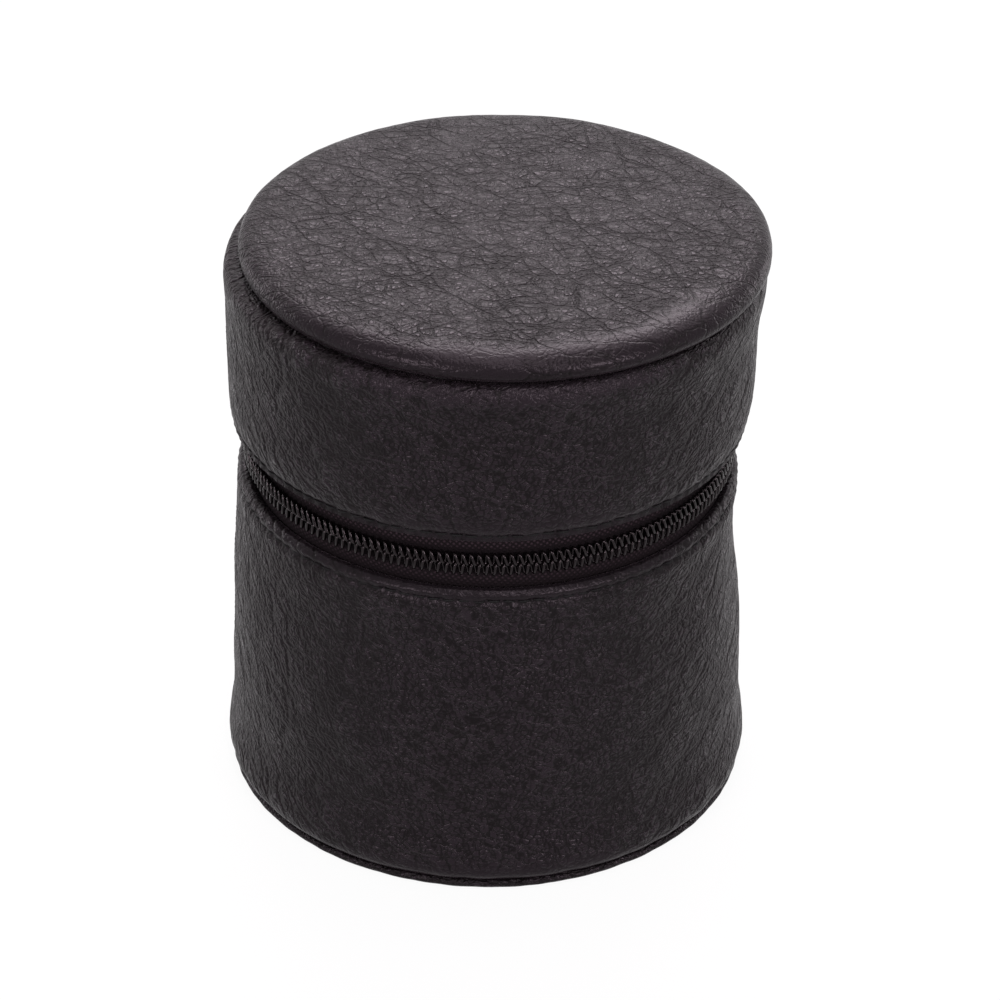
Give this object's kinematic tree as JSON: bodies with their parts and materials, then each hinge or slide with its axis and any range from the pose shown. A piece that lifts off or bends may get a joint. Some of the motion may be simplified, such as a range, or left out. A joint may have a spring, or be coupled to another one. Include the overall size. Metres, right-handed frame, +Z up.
{
  "type": "lens pouch",
  "caption": "Round padded leather pouch for a camera lens, with a crowned disc lid on a rear leather hinge, closed by a nylon coil zip that runs round the wall.",
  "frame": {"origin": "centre of the base, on the surface that the pouch stands on", "axes": "+Z up along the pouch's axis, -Y towards the front, +X to the right seen from the front"},
  "size_m": [0.0798, 0.0798, 0.091],
  "materials": {
    "leather": "soft black nappa with a fine pebble grain",
    "lining": "plain woven nylon",
    "foam": "soft closed-cell padding",
    "board": "pressed fibre board",
    "zip_tape": "woven polyester herringbone tape",
    "zip_coil": "glossy nylon monofilament",
    "thread": "bonded polyester thread",
    "dark_metal": "black nickel plate on zinc"
  },
  "bodies": {
    "pouch_body": {"base_leather": "leather", "base_board": "board", "base_foam": "foam", "base_lining": "lining", "base_stitching": "thread", "body_wall_leather": "leather", "body_wall_foam": "foam", "body_wall_lining": "lining", "body_zip_stitching": "thread", "lower_zip_tape": "zip_tape", "lower_zip_coil": "zip_coil", "lower_zip_stop": "dark_metal", "zip_bottom_stop": "dark_metal", "hinge_leather": "leather", "hinge_lining": "lining"},
    "lid": {"lid_top_leather": "leather", "lid_top_foam": "foam", "lid_top_board": "board", "lid_top_lining": "lining", "lid_wall_leather": "leather", "lid_wall_foam": "foam", "lid_wall_lining": "lining", "lid_rim_stitching": "thread", "lid_zip_stitching": "thread", "upper_zip_tape": "zip_tape", "upper_zip_coil": "zip_coil", "upper_zip_stop": "dark_metal"},
    "slider": {"zip_slider": "dark_metal"},
    "pull": {"pull_tab": "dark_metal"}
  },
  "joints": [
    {"name": "lid_hinge", "type": "hinge", "parent": "pouch_body", "child": "lid", "pos_m": [0, 0.037, 0.056], "axis": [-1, 0, 0], "range_deg": [0, 115], "deforming": ["hinge_leather", "hinge_lining"]},
    {"name": "slider_travel", "type": "hinge", "parent": "pouch_body", "child": "slider", "pos_m": [0, 0, 0.056], "axis": [0, 0, -1], "range_deg": [0, 260], "deforming": ["lower_zip_tape", "lower_zip_coil", "upper_zip_tape", "upper_zip_coil"]},
    {"name": "pull_swing", "type": "hinge", "parent": "slider", "child": "pull", "pos_m": [0.03003, 0.0252, 0.056], "axis": [0, 0, -1], "range_deg": [0, 188]}
  ]
}
